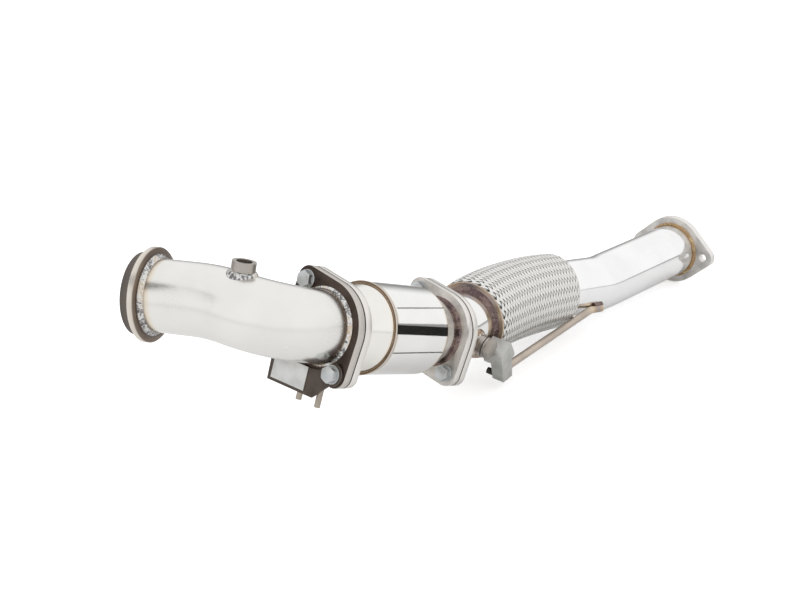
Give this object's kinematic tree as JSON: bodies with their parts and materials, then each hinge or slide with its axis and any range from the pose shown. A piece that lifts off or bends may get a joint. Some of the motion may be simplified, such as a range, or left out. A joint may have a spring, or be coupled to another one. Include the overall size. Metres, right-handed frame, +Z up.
{
  "type": "turbo downpipe",
  "caption": "stainless turbo downpipe with a clamped inlet, sensor bungs, bolted catalytic converter, braided flex joint, hanger and two-bolt outlet flange",
  "frame": {"origin": "centre of the inlet flange's front lip face", "axes": "+X runs along the gas flow at the inlet, away from the turbocharger; +Z is up on the car; +Y follows by the right-hand rule, the way the pipe then turns"},
  "size_m": [0.5691, 0.7709, 0.2387],
  "materials": {
    "inlet_steel": "machined, dark front lip, heat tint",
    "pipe_steel": "satin polished",
    "polished_steel": "mirror polished",
    "weld_steel": "rippled weld, straw to blue heat tint",
    "dark_steel": "dark, rough, oxidised",
    "flange_steel": "ground",
    "gasket_grey": "pressed graphite sheet",
    "zinc": "zinc plated",
    "braid_steel": "woven flat wire",
    "core_ceramic": "matt ceramic",
    "mat_fibre": "pressed fibre",
    "blasted_steel": "bead blasted",
    "rod_steel": "drawn, heat tinted",
    "plate_metal": "blank, satin",
    "stud_copper": "coppered, dull"
  },
  "bodies": {
    "root": {"inlet_flange": "inlet_steel", "inlet_weld": "weld_steel", "dump_pipe": "pipe_steel", "front_bung": "pipe_steel", "front_bung_weld": "weld_steel", "dump_flange_weld": "weld_steel", "dump_flange": "dark_steel", "front_gasket": "gasket_grey", "cat_inlet_flange": "flange_steel", "cat_inlet_weld": "weld_steel", "cat_inlet_cone": "pipe_steel", "cat_front_seam": "weld_steel", "cat_shell": "polished_steel", "catalyst_mat": "mat_fibre", "catalyst_core": "core_ceramic", "cat_rear_seam": "weld_steel", "cat_outlet_cone": "polished_steel", "cat_outlet_weld": "weld_steel", "cat_outlet_flange": "flange_steel", "rear_gasket": "gasket_grey", "stub_flange": "flange_steel", "stub_weld": "weld_steel", "stub_pipe": "polished_steel", "rear_bung": "pipe_steel", "rear_bung_weld": "weld_steel", "plug_washer": "gasket_grey", "bung_plug": "pipe_steel", "flex_front_weld": "weld_steel", "flex_front_collar": "pipe_steel", "flex_bellows": "braid_steel", "flex_liner": "braid_steel", "flex_braid": "braid_steel", "flex_rear_collar": "pipe_steel", "flex_rear_weld": "weld_steel", "tail_pipe": "polished_steel", "outlet_weld": "weld_steel", "outlet_flange": "flange_steel", "hanger_rod": "rod_steel", "hanger_weld": "weld_steel", "hanger_block": "blasted_steel", "hanger_stud": "dark_steel", "support_bracket": "dark_steel", "blank_plate": "plate_metal", "bracket_stud_left": "stud_copper", "bracket_stud_right": "stud_copper", "front_bolt_upper": "zinc", "front_bolt_lower": "zinc", "rear_bolt_upper": "zinc", "rear_bolt_lower": "zinc", "front_nut_upper": "zinc", "front_nut_lower": "zinc", "rear_nut_upper": "zinc", "rear_nut_lower": "zinc", "front_washer_upper": "zinc", "front_washer_lower": "zinc", "rear_washer_upper": "zinc", "rear_washer_lower": "zinc"}
  },
  "joints": []
}
